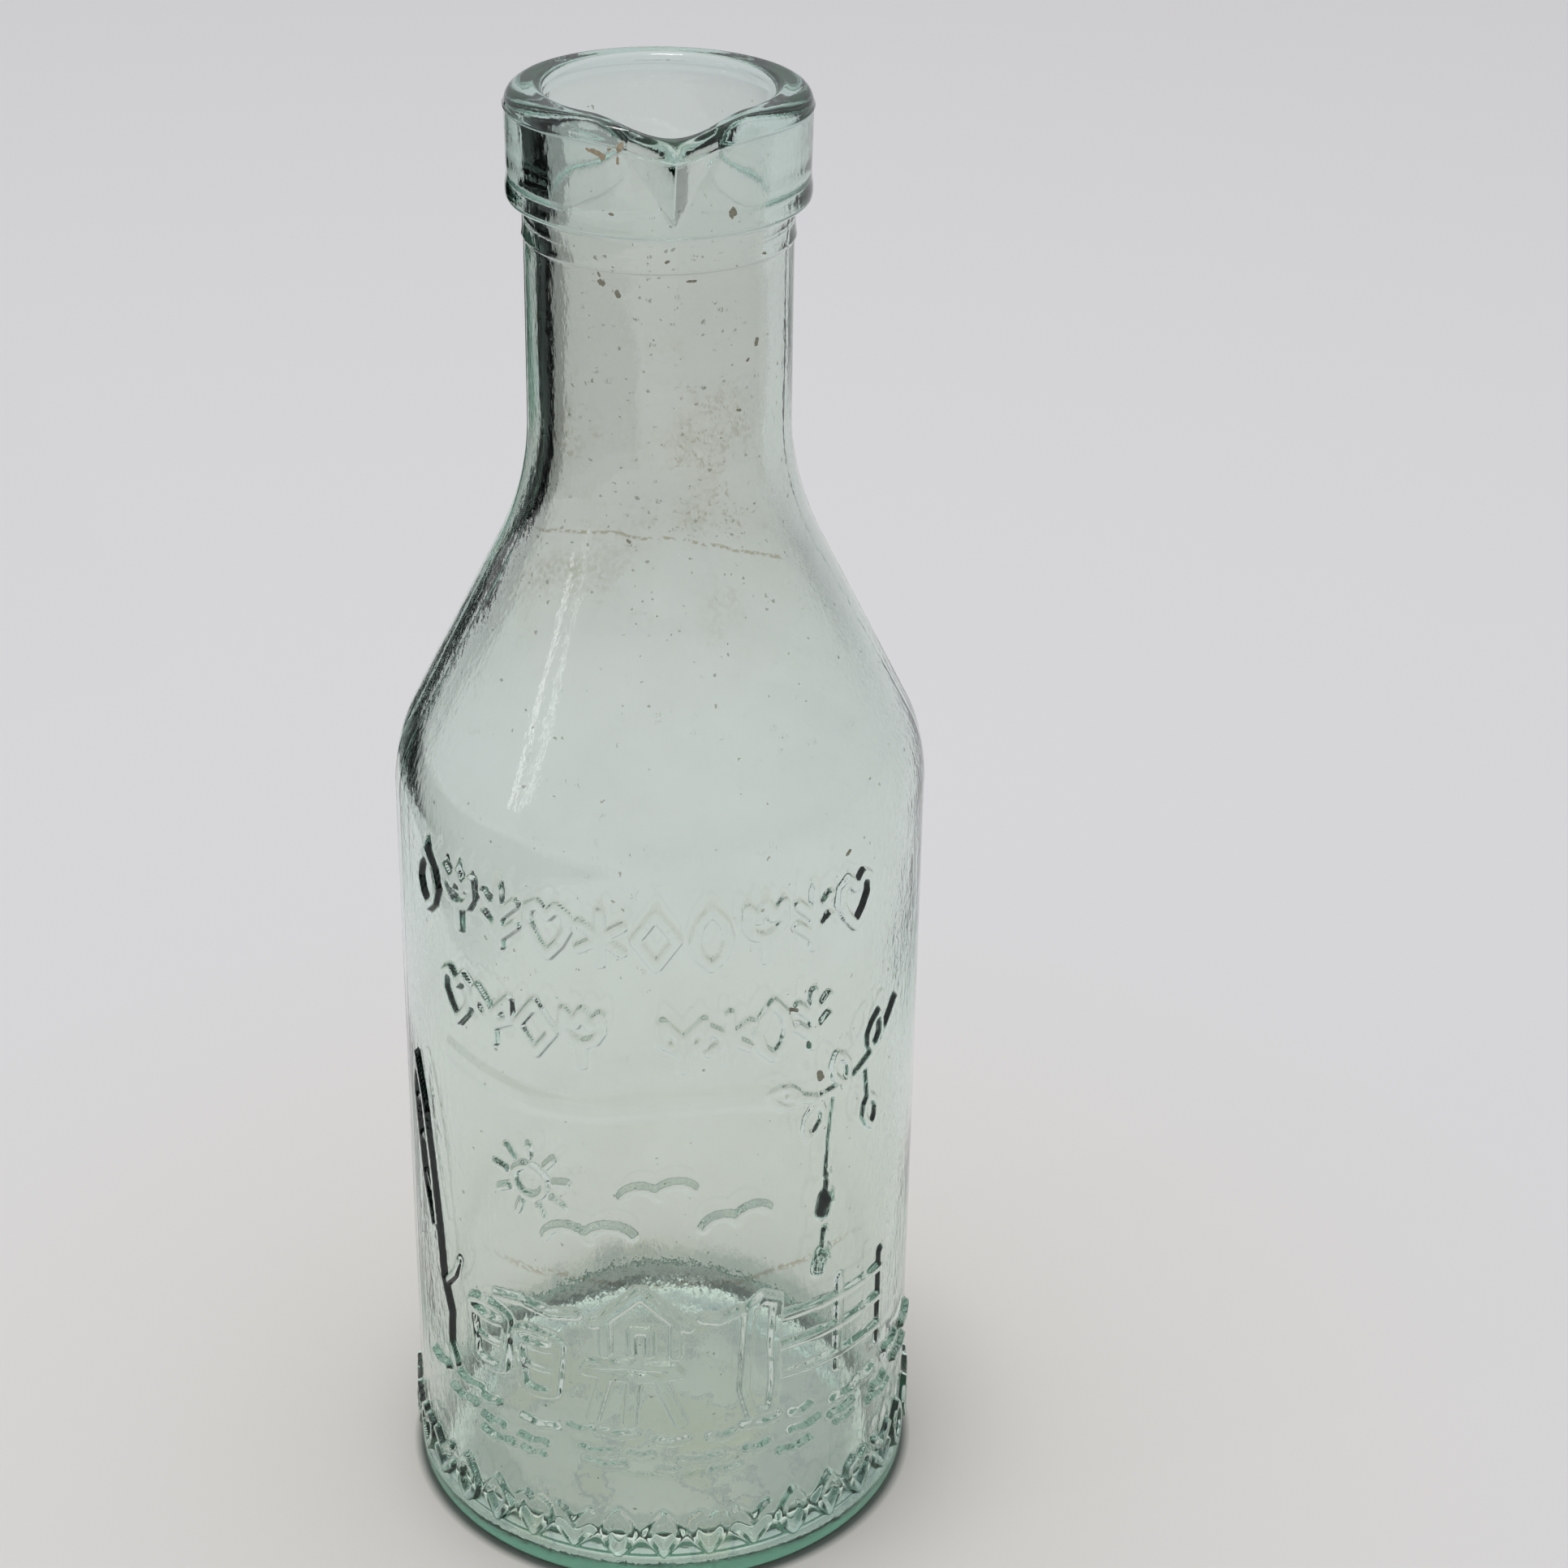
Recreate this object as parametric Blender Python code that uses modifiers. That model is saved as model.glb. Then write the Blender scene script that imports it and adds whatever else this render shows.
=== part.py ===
"""Tall glass milk bottle with a pouring lip, standing on z = 0 with its axis on +Z.

The real bottle is one piece of blown glass. Here it is made as the zones that its mould forms,
one above the other with a hairline between them: bottom and heel, barrel, shoulder, neck,
and the collar with the pouring lip at its front (-Y). All sizes are in metres.
"""

from math import cos, pi, radians, sin, tan

import bmesh
import bpy
from mathutils import Matrix

MM = 0.001

# Driving dimensions
TOTAL_HEIGHT = 270.0 * MM
BARREL_RADIUS = 47.0 * MM
WALL = 3.6 * MM
BORE_RADIUS = 18.7 * MM
HAIRLINE = 0.3 * MM
STEPS = 60

# Bottom and heel
HEEL_TOP = 14.0 * MM
HEEL_RING_PROUD = 0.4 * MM
HEEL_RING_HEIGHT = 4.6 * MM
HEEL_GROOVE_DEPTH = 0.5 * MM
HEEL_GROOVE_HEIGHT = 1.2 * MM
HEEL_EDGE = 1.6 * MM
REST_RING_INNER = 39.5 * MM
REST_RING_EDGE = 5.0 * MM
PUSH_UP = 4.0 * MM
PUSH_UP_EDGE = 0.55 * PUSH_UP
PUSH_UP_MIDDLE = 0.9 * PUSH_UP
PUSH_UP_MIDDLE_RADIUS = 17.4 * MM
FLOOR_THICKNESS = 6.0 * MM
FLOOR_RISE = 2.4 * MM
FLOOR_RISE_RADIUS = 21.7 * MM
FLOOR_CORNER = 8.0 * MM

# Barrel and shoulder
BARREL_TOP = 145.9 * MM
SHOULDER_BEND = 28.7 * MM
SHOULDER_SLOPE = radians(26.6)
NECK_RADIUS = 22.3 * MM
NECK_FLARE = 50.6 * MM

# Collar
COLLAR_BOTTOM = 251.5 * MM
COLLAR_RADIUS = 25.1 * MM
COLLAR_DRAFT = 0.3 * MM
COLLAR_FLANGE_PROUD = 0.4 * MM
COLLAR_FLANGE_HEIGHT = 3.0 * MM
COLLAR_EDGE = 0.7 * MM
LIP_ROLL = 3.1 * MM
LIP_EASE = 1.4 * MM

# Pouring lip
LIP_SECTOR = radians(20.0)
LIP_SECTOR_CUT = radians(21.0)
BEAK_HALF_ANGLE = radians(17.5)
BEAK_TOP = 267.0 * MM
BEAK_RIDGE_TOP = 266.0 * MM
BEAK_TIP = 254.6 * MM
BEAK_REACH = 29.2 * MM
BEAK_ROOT_NARROWING = 0.8
SPOUT_DIP = 3.0 * MM
SPOUT_ROUND = 10.0 * MM
CHANNEL_TOP_RADIUS = 7.2 * MM
CHANNEL_FOOT = 14.0 * MM
CHANNEL_FOOT_RADIUS = 0.8 * MM
CHANNEL_OFFSET = 16.6 * MM
CUTTER_MARGIN = 5.0 * MM

# Colour and finish; a thick zone looks deeper in colour than a thin one
GLASS_COLOUR = (0.60, 0.72, 0.66, 1.0)
GLASS_ROUGHNESS = 0.04
GLASS_CLARITY = 0.6
GLASS_IOR = 1.5
THIN_DEPTH = 1.0
COLLAR_DEPTH = 1.3
BASE_DEPTH = 1.8

# Facets along the curves of the profiles
LONG_CURVE_POINTS = 5
EDGE_POINTS = 4
BEAD_POINTS = 3
DIP_SIDES = 24
CHANNEL_SIDES = 20


def clear_scene():
    for old in list(bpy.data.objects):
        bpy.data.objects.remove(old, do_unlink=True)


def new_collection(name, hidden=False):
    made = bpy.data.collections.new(name)
    bpy.context.scene.collection.children.link(made)
    made.hide_render = hidden
    return made


def glass(name, depth):
    """Pale aqua glass; thicker zones are a little deeper in colour."""
    made = bpy.data.materials.new(name)
    made.use_nodes = True
    shader = made.node_tree.nodes["Principled BSDF"]
    colour = [channel ** depth for channel in GLASS_COLOUR[:3]] + [1.0]
    shader.inputs["Base Color"].default_value = colour
    shader.inputs["Roughness"].default_value = GLASS_ROUGHNESS
    shader.inputs["Metallic"].default_value = 0.0
    shader.inputs["Transmission Weight"].default_value = GLASS_CLARITY
    shader.inputs["IOR"].default_value = GLASS_IOR
    return made


def arc(centre, radius, start, end, count):
    """Points (r, z) on an arc; angle 0 points away from the axis and grows upwards."""
    points = []
    for k in range(count):
        angle = start + (end - start) * k / (count - 1)
        points.append((centre[0] + radius * cos(angle), centre[1] + radius * sin(angle)))
    return points


def turned(name, profile, collection, closed=True):
    """A profile of (r, z) points, running down its outer side, turned round the axis."""
    mesh = bpy.data.meshes.new(name)
    shape = bmesh.new()
    corners = [shape.verts.new((r, 0.0, z)) for r, z in profile]
    for first, second in zip(corners, corners[1:]):
        shape.edges.new((first, second))
    if closed:
        shape.edges.new((corners[-1], corners[0]))
    shape.to_mesh(mesh)
    shape.free()
    made = bpy.data.objects.new(name, mesh)
    collection.objects.link(made)
    screw = made.modifiers.new("turn", "SCREW")
    screw.axis = "Z"
    screw.steps = STEPS
    screw.render_steps = STEPS
    screw.use_merge_vertices = True
    screw.merge_threshold = 0.00001
    screw.use_smooth_shade = True
    return made


def solid_from(name, fill, collection):
    """An object whose mesh is made by fill(bmesh)."""
    mesh = bpy.data.meshes.new(name)
    shape = bmesh.new()
    fill(shape)
    bmesh.ops.recalc_face_normals(shape, faces=shape.faces)
    shape.to_mesh(mesh)
    shape.free()
    made = bpy.data.objects.new(name, mesh)
    collection.objects.link(made)
    return made


def boolean(target, other, operation):
    cut = target.modifiers.new(operation.lower() + "_" + other.name, "BOOLEAN")
    cut.operation = operation
    cut.solver = "EXACT"
    cut.object = other


def helper(made):
    made.hide_render = True
    made.display_type = "WIRE"
    return made


def finish(made, depth=THIN_DEPTH):
    made.data.materials.append(glass(made.name + "_glass", depth))


def make_base(parts):
    """Bottom and heel: a shallow cup with a domed push-up and a ring bead round its foot."""
    ring = BARREL_RADIUS + HEEL_RING_PROUD
    groove = BARREL_RADIUS - HEEL_GROOVE_DEPTH
    groove_top = HEEL_RING_HEIGHT + HEEL_GROOVE_HEIGHT
    inner = BARREL_RADIUS - WALL
    floor = HEEL_TOP - FLOOR_CORNER
    corner = (inner - FLOOR_CORNER, HEEL_TOP)
    profile = [(0.0, PUSH_UP + FLOOR_THICKNESS), (FLOOR_RISE_RADIUS, floor + FLOOR_RISE)]
    profile += arc(corner, FLOOR_CORNER, -pi / 2, 0.0, LONG_CURVE_POINTS)
    profile += [(BARREL_RADIUS, HEEL_TOP), (BARREL_RADIUS, groove_top)]
    profile += [(groove, groove_top - 0.5 * HEEL_GROOVE_HEIGHT), (ring, HEEL_RING_HEIGHT)]
    profile += arc((ring - HEEL_EDGE, HEEL_EDGE), HEEL_EDGE, 0.0, -pi / 2, EDGE_POINTS)
    profile += [(REST_RING_INNER, 0.0), (REST_RING_INNER - REST_RING_EDGE, PUSH_UP_EDGE)]
    profile += [(PUSH_UP_MIDDLE_RADIUS, PUSH_UP_MIDDLE), (0.0, PUSH_UP)]
    made = turned("base_and_heel", profile, parts, closed=False)
    finish(made, BASE_DEPTH)
    return made


def make_barrel(parts):
    """Barrel: the straight tube that holds the milk."""
    low = HEEL_TOP + HAIRLINE
    high = BARREL_TOP - HAIRLINE
    inner = BARREL_RADIUS - WALL
    profile = [(BARREL_RADIUS, high), (BARREL_RADIUS, low), (inner, low), (inner, high)]
    made = turned("barrel", profile, parts)
    finish(made)
    return made


def shoulder_line(inset):
    """The shoulder's outline from the neck down to the barrel, moved inwards by inset."""
    slope = SHOULDER_SLOPE
    bend_end_r = BARREL_RADIUS - SHOULDER_BEND * (1.0 - cos(slope))
    bend_end_z = BARREL_TOP + SHOULDER_BEND * sin(slope)
    flare_start_r = NECK_RADIUS + NECK_FLARE * (1.0 - cos(slope))
    flare_start_z = bend_end_z + (bend_end_r - flare_start_r) / tan(slope)
    flare_centre = (NECK_RADIUS + NECK_FLARE, flare_start_z + NECK_FLARE * sin(slope))
    bend_centre = (BARREL_RADIUS - SHOULDER_BEND, BARREL_TOP)
    line = arc(flare_centre, NECK_FLARE + inset, pi, pi + slope, LONG_CURVE_POINTS)
    line += arc(bend_centre, SHOULDER_BEND - inset, slope, 0.0, LONG_CURVE_POINTS)
    return line


def make_shoulder(parts):
    """Shoulder: a hollow flare that narrows from the barrel to the neck."""
    profile = shoulder_line(0.0) + shoulder_line(WALL)[::-1]
    made = turned("shoulder", profile, parts)
    finish(made)
    return made


def make_neck(parts):
    """Neck: a straight tube between the shoulder and the collar."""
    low = shoulder_line(0.0)[0][1] + HAIRLINE
    high = COLLAR_BOTTOM - HAIRLINE
    profile = [(NECK_RADIUS, high), (NECK_RADIUS, low), (BORE_RADIUS, low), (BORE_RADIUS, high)]
    made = turned("neck", profile, parts)
    finish(made)
    return made


def collar_profile():
    """Rounded lip on top, slight draft down the side, and a bead round the foot."""
    foot_radius = COLLAR_RADIUS - COLLAR_DRAFT
    bead = foot_radius + COLLAR_FLANGE_PROUD
    bead_top = COLLAR_BOTTOM + COLLAR_FLANGE_HEIGHT
    roll = (COLLAR_RADIUS - LIP_ROLL, TOTAL_HEIGHT - LIP_ROLL)
    ease = (BORE_RADIUS + LIP_EASE, TOTAL_HEIGHT - LIP_EASE)
    profile = arc(roll, LIP_ROLL, pi / 2, 0.0, LONG_CURVE_POINTS)
    profile += [(foot_radius, bead_top + COLLAR_EDGE), (bead, bead_top)]
    profile += arc((bead - COLLAR_EDGE, COLLAR_BOTTOM + COLLAR_EDGE), COLLAR_EDGE, 0.0, -pi / 2, BEAD_POINTS)
    profile += [(BORE_RADIUS, COLLAR_BOTTOM)]
    profile += arc(ease, LIP_EASE, pi, pi / 2, EDGE_POINTS)
    return profile


def wedge(name, half_angle, cutters):
    """A tall prism from the axis outwards over the front, half_angle to each side of -Y."""
    reach = 2.0 * COLLAR_RADIUS
    low = COLLAR_BOTTOM - CUTTER_MARGIN
    high = TOTAL_HEIGHT + CUTTER_MARGIN
    side = reach * sin(half_angle)
    front = -reach * cos(half_angle)

    def fill(shape):
        for z in (low, high):
            for x, y in ((0.0, 0.0), (-side, front), (side, front)):
                shape.verts.new((x, y, z))
        bmesh.ops.convex_hull(shape, input=shape.verts)

    return helper(solid_from(name, fill, cutters))


def make_collar(parts, cutters):
    """Collar: the thick finish ring, open at the front where the pouring lip sits."""
    made = turned("collar", collar_profile(), parts)
    boolean(made, wedge("lip_seat_cutter", LIP_SECTOR_CUT, cutters), "DIFFERENCE")
    finish(made, COLLAR_DEPTH)
    return made


def make_pouring_lip(parts, cutters):
    """Pouring lip: the front of the collar, drawn out into a beak with a dipped channel."""
    made = turned("pouring_lip", collar_profile(), parts)
    boolean(made, wedge("lip_sector_keeper", LIP_SECTOR, cutters), "INTERSECT")

    def beak(shape):
        side = COLLAR_RADIUS * sin(BEAK_HALF_ANGLE)
        face = -COLLAR_RADIUS * cos(BEAK_HALF_ANGLE)
        inside = -0.5 * (COLLAR_RADIUS + BORE_RADIUS)
        for x in (-side, side):
            shape.verts.new((x, face, BEAK_TOP))
            shape.verts.new((BEAK_ROOT_NARROWING * x, inside, BEAK_TOP))
        shape.verts.new((0.0, -BEAK_REACH, BEAK_RIDGE_TOP))
        shape.verts.new((0.0, inside, BEAK_TIP))
        shape.verts.new((0.0, -COLLAR_RADIUS + COLLAR_DRAFT, BEAK_TIP))
        bmesh.ops.convex_hull(shape, input=shape.verts)

    def dip(shape):
        bmesh.ops.create_cone(shape, cap_ends=True, segments=DIP_SIDES, radius1=SPOUT_ROUND,
                              radius2=SPOUT_ROUND, depth=BEAK_REACH)
        bmesh.ops.rotate(shape, verts=shape.verts, matrix=Matrix.Rotation(pi / 2, 3, "X"))
        centre_z = TOTAL_HEIGHT - SPOUT_DIP + SPOUT_ROUND
        bmesh.ops.translate(shape, verts=shape.verts, vec=(0.0, -BEAK_REACH, centre_z))

    def channel(shape):
        height = CHANNEL_FOOT + CUTTER_MARGIN
        widen = (CHANNEL_TOP_RADIUS - CHANNEL_FOOT_RADIUS) / CHANNEL_FOOT
        top_radius = CHANNEL_TOP_RADIUS + widen * CUTTER_MARGIN
        bmesh.ops.create_cone(shape, cap_ends=True, segments=CHANNEL_SIDES, radius1=CHANNEL_FOOT_RADIUS,
                              radius2=top_radius, depth=height)
        centre_z = TOTAL_HEIGHT + CUTTER_MARGIN - 0.5 * height
        bmesh.ops.translate(shape, verts=shape.verts, vec=(0.0, -CHANNEL_OFFSET, centre_z))

    boolean(made, helper(solid_from("beak_block", beak, cutters)), "UNION")
    boolean(made, helper(solid_from("spout_dip_cutter", dip, cutters)), "DIFFERENCE")
    boolean(made, helper(solid_from("spout_channel_cutter", channel, cutters)), "DIFFERENCE")
    finish(made, COLLAR_DEPTH)
    return made


def main():
    clear_scene()
    parts = new_collection("milk_bottle")
    cutters = new_collection("milk_bottle_cutters", hidden=True)
    make_base(parts)
    make_barrel(parts)
    make_shoulder(parts)
    make_neck(parts)
    make_collar(parts, cutters)
    make_pouring_lip(parts, cutters)


main()
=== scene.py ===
from math import cos, pi, radians, sin, tan

import bpy
import numpy as np
from mathutils import Matrix, Vector
from mathutils.bvhtree import BVHTree


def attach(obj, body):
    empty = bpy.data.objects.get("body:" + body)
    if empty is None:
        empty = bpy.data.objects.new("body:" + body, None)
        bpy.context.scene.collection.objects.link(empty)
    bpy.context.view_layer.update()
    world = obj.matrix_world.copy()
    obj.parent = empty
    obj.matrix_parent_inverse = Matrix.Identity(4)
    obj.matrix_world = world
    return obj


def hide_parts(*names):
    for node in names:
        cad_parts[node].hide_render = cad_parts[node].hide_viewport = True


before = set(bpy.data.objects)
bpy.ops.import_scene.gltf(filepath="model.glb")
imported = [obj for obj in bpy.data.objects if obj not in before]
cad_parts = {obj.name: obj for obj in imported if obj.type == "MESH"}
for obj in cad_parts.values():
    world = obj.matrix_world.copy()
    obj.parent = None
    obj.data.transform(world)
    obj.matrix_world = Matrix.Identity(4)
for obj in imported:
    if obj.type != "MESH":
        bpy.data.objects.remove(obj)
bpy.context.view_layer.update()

MM = 0.001


# ---------------------------------------------------------------------------------------------
# Pressed decoration. The iron body mould carries a cut pattern, so the glass comes out of it
# with soft round-edged ridges: two rows of meadow ornaments under the shoulder, a farmyard
# scene round the middle and a border above the heel.
# ---------------------------------------------------------------------------------------------
BARREL_RADIUS = 47.0
RIDGE_WIDTH = 1.9
RIDGE_HEIGHT = 0.85
RIDGE_EDGE = 0.48

# Each ridge is a stroke on the unrolled wall, in millimetres: x runs round the barrel from the
# pouring lip, z runs up, and the edge is the width of its soft shoulder.
strokes = []


def stroke(points, width=RIDGE_WIDTH, height=RIDGE_HEIGHT, edge=RIDGE_EDGE):
    strokes.append((np.array(points, float), width, height, edge))


def bow(centre, radii, start, end, count=9):
    """Points along part of an ellipse, angles in degrees from +x towards +z."""
    turned = np.radians(np.linspace(start, end, count))
    return np.stack([centre[0] + radii[0] * np.cos(turned), centre[1] + radii[1] * np.sin(turned)], 1)


def place(shape, x, z, size, lean=0.0, width=RIDGE_WIDTH, height=RIDGE_HEIGHT):
    """Sets a drawing made in a unit square, feet at (0, 0), on the wall."""
    c, s = cos(radians(lean)), sin(radians(lean))
    for line in shape:
        line = np.asarray(line, float) * size
        turned = np.stack([c * line[:, 0] + s * line[:, 1], c * line[:, 1] - s * line[:, 0]], 1)
        stroke(turned + (x, z), width, height)


def mirrored(lines):
    """The lines and their mirror images about x = 0."""
    lines = [np.asarray(line, float) for line in lines]
    return lines + [line * (-1.0, 1.0) for line in lines]


# The mould cutter's set of small ornaments, each in a unit square.
bud = mirrored([[(0.0, 0.98), (0.12, 0.72), (0.3, 0.94), (0.32, 0.66), (0.2, 0.46), (0.0, 0.38)]])
bud += [[(0.0, 0.38), (0.0, 0.0)]]
heart = mirrored([[(0.0, 0.06), (0.2, 0.3), (0.34, 0.58), (0.32, 0.82), (0.16, 0.93), (0.0, 0.74)]])
leaf = mirrored([[(0.0, 0.0), (0.18, 0.18), (0.27, 0.46), (0.19, 0.76), (0.0, 1.0)]])
wheat = mirrored([[(0.0, 0.16), (0.3, 0.44)], [(0.0, 0.52), (0.3, 0.82)]]) + [[(0.0, 1.0), (0.0, 0.0)]]
star = mirrored([[(0.0, 0.5), (0.33, 0.72)], [(0.0, 0.5), (0.33, 0.28)]]) + [[(0.0, 0.06), (0.0, 0.94)]]
gem = mirrored([[(0.0, 0.04), (0.32, 0.5), (0.0, 0.96)]])
sprout = mirrored([[(0.0, 0.3), (0.1, 0.62), (0.32, 0.86), (0.34, 0.5), (0.0, 0.3)]])
sprout += [[(0.0, 0.0), (0.0, 0.3)]]
chevrons = [[(-0.32, 0.9), (0.0, 0.56), (0.32, 0.9)], [(-0.32, 0.44), (0.0, 0.1), (0.32, 0.44)]]

# Upper row: ten ornaments, 11 mm high, even steps from the far left to just past the front.
UPPER_ROW_Z, UPPER_ROW_SIZE = 132.4, 11.0
UPPER_ROW_FIRST, UPPER_ROW_STEP = -52.0, 9.36
for k, shape in enumerate((leaf, bud, wheat, heart, star, gem, leaf, bud, wheat, heart)):
    place(shape, UPPER_ROW_FIRST + UPPER_ROW_STEP * k, UPPER_ROW_Z, UPPER_ROW_SIZE)

# Second row: two groups of four.
SECOND_ROW_Z, SECOND_ROW_SIZE = 112.6, 10.8
left_group = (-44.0, 8.7, (heart, sprout, gem, bud))
right_group = (-0.6, 7.9, (sprout, star, leaf, wheat))
for first, step, shapes in (left_group, right_group):
    for k, shape in enumerate(shapes):
        place(shape, first + step * k, SECOND_ROW_Z, SECOND_ROW_SIZE)

# Farmyard, left: a slender poplar, trunk and long narrow crown.
trunk = [(-48.6, 37.0), (-50.6, 41.0), (-50.2, 48.0), (-52.6, 55.0), (-53.4, 64.0)]
side_shoot = [(-52.4, 52.0), (-48.0, 57.0), (-46.5, 61.0)]
poplar_crown = [(-54.5, 62.0), (-58.5, 74.0), (-61.5, 90.0), (-60.5, 97.5), (-57.5, 90.0), (-55.0, 78.0),
                (-53.0, 64.0)]
stroke(trunk, 2.4, 0.9)
stroke(side_shoot, 1.4, 0.6)
stroke(poplar_crown, 1.6, 0.8)
LOWEST_TWIG_Z = 70.0
for z in (70.0, 78.0, 86.0):
    higher = z - LOWEST_TWIG_Z
    twig = [(-59.5 - 0.12 * higher, z + 1.0), (-57.0 - 0.1 * higher, z + 4.0),
            (-55.5 - 0.06 * higher, z + 1.5)]
    stroke(twig, 1.2, 0.5)

# Farmyard, middle: a sun, three swallows, a barn between two hedges, two pails, a stool.
swallow = [bow((-0.42, 0.0), (0.44, 0.34), 10, 165, 8), bow((0.42, 0.06), (0.44, 0.3), 15, 170, 8)]
for x, z, size in ((-17.5, 75.5, 9.5), (-5.0, 86.0, 7.5), (9.0, 79.5, 7.0)):
    place(swallow, x, z, size, lean=-8.0, width=1.7)
SUN_X, SUN_Z, SUN_RADIUS = -28.5, 86.0, 3.2
SUN_RAYS, RAY_START, RAY_END = 9, 1.9, 4.3
stroke(bow((SUN_X, SUN_Z), (SUN_RADIUS, SUN_RADIUS), 0, 360, 17), 1.5, 0.9)
for ray in range(SUN_RAYS):
    out = radians(360.0 / SUN_RAYS * ray + 10.0)
    reaches = (SUN_RADIUS + RAY_START, SUN_RADIUS + RAY_END)
    stroke([(SUN_X + r * cos(out), SUN_Z + r * sin(out)) for r in reaches], 1.3, 0.8)
left_hedge = [(-36.5, 58.5), (-31.0, 59.5), (-25.0, 58.5), (-20.0, 59.6)]
right_hedge = [(3.0, 60.0), (6.0, 59.3), (9.5, 60.5)]
stroke(left_hedge, 1.8, 0.9)
stroke(right_hedge, 1.8, 0.9)
barn_walls_and_gable = [(-14.5, 52.5), (-14.5, 60.0), (-8.2, 66.0), (-2.0, 60.0), (-2.0, 52.5)]
barn_door = [(-6.6, 52.5), (-6.6, 57.8), (-9.8, 57.8), (-9.8, 52.5)]
stroke(barn_walls_and_gable, 2.2, 1.15)
for eave in ([(-16.8, 58.4), (-14.5, 60.0)], [(0.3, 58.4), (-2.0, 60.0)]):
    stroke(eave, 2.0, 1.1)
stroke(barn_door, 1.5, 0.9)
# A pail: the rim, two sloping sides, the foot and one hoop.
for x, z, size in ((-38.5, 43.0, 1.0), (-27.5, 41.5, 0.96)):
    stroke(bow((x, z + 11.0 * size), (4.6 * size, 1.7 * size), 0, 360, 15), 1.8, 1.0)
    stroke([(x - 4.6 * size, z + 11.0 * size), (x - 3.5 * size, z)], 2.0, 1.0)
    stroke([(x + 4.6 * size, z + 11.0 * size), (x + 3.5 * size, z)], 2.0, 1.0)
    stroke(bow((x, z), (3.5 * size, 1.2 * size), 180, 360, 7), 2.0, 1.0)
    stroke(bow((x, z + 5.5 * size), (4.0 * size, 1.3 * size), 200, 340, 7), 1.1, 0.5)
stool_seat = [(-18.5, 48.0), (-17.5, 49.6), (-10.0, 50.4), (-2.5, 49.8), (-1.2, 48.2), (-9.8, 47.3),
              (-18.5, 48.0)]
stroke(stool_seat, 1.9, 1.1)
for seat_x, foot_x in ((-14.5, -17.0), (-5.0, -1.0), (-9.5, -10.2)):
    stroke([(seat_x, 47.5), (foot_x, 37.5)], 2.4, 1.1)

# Farmyard, right: a gate post, a fence of three rails and two posts, then a bough with leaves
# and two pears.
gate_post = [(11.5, 60.5), (11.0, 52.0), (10.5, 43.0), (12.0, 37.0), (16.0, 36.8), (16.8, 44.0), (16.4, 52.0),
             (17.0, 61.0), (14.0, 62.5), (11.5, 60.5)]
stroke(gate_post, 2.0, 1.0)
for z in (57.0, 50.5, 44.0):
    stroke([(18.0, z), (29.0, z - 0.6), (43.0, z - 1.2)], 1.7, 0.75)
stroke([(31.0, 60.0), (31.0, 40.0)], 1.8, 0.6)
stroke([(43.5, 59.0), (43.5, 39.0)], 1.8, 0.6)
bough = [(45.5, 112.0), (40.5, 106.0), (33.0, 102.0), (24.5, 101.0), (18.5, 103.5)]
hanging_twigs = ([(28.5, 101.0), (27.5, 92.0), (27.0, 84.0)], [(36.5, 103.5), (37.5, 95.0)])
bough_leaves = ((38.0, 105.5, 15.0), (21.0, 102.0, -65.0), (25.0, 100.0, 200.0), (37.5, 96.0, 170.0),
                (31.0, 102.0, -20.0))
stroke(bough, 1.8, 0.65)
for twig in hanging_twigs:
    stroke(twig, 1.2, 0.6)
for x, z, lean in bough_leaves:
    place(leaf, x, z, 7.0, lean=lean, width=1.4, height=0.6)
# A pear is one short domed boss with its stalk above.
for x, z in ((26.8, 78.5), (26.2, 66.5)):
    stroke([(x - 0.3, z - 1.8), (x + 0.3, z + 0.8)], 2.6, 2.0, 2.2)
    stroke([(x + 0.3, z + 1.5), (x + 0.7, z + 6.0)], 1.3, 0.8)

# Farmyard, behind: the low line of the hills.
hill_line = [(-47.0, 105.5), (-38.0, 104.0), (-28.0, 102.6), (-16.0, 103.4), (-4.0, 105.6), (8.0, 105.4),
             (17.0, 103.8)]
stroke(hill_line, 4.0, 0.26, 2.6)

# The ground: rows of short grass strokes that curve round the barrel.
grass_rows = ((34.0, -57.0, 8.6, 14), (29.5, -51.0, 10.2, 11), (26.5, -42.0, 12.0, 8))
for row, (z, first, step, count) in enumerate(grass_rows):
    for k in range(count):
        x = first + step * k + 1.3 * sin(2.1 * k + row)
        lift = 0.9 * sin(1.7 * k + 2.0 * row)
        length = 5.4 + 1.6 * sin(2.6 * k + row)
        stroke([(x, z + lift), (x + 0.5 * length, z + lift - 0.6), (x + length, z + lift + 0.2)], 1.6, 1.0)

# Border above the heel: ornaments at an even pitch, past both sides but not across the back.
HEEL_BORDER_Z, HEEL_BORDER_SIZE, HEEL_BORDER_STEP = 6.9, 9.4, 8.35
HEEL_BORDER_COUNT = 20
for k in range(HEEL_BORDER_COUNT):
    shape = (leaf, gem, heart, chevrons)[k % 4]
    from_front = HEEL_BORDER_STEP * (k - 0.5 * (HEEL_BORDER_COUNT - 1))
    place(shape, from_front, HEEL_BORDER_Z, HEEL_BORDER_SIZE, width=1.8, height=1.15)


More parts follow.
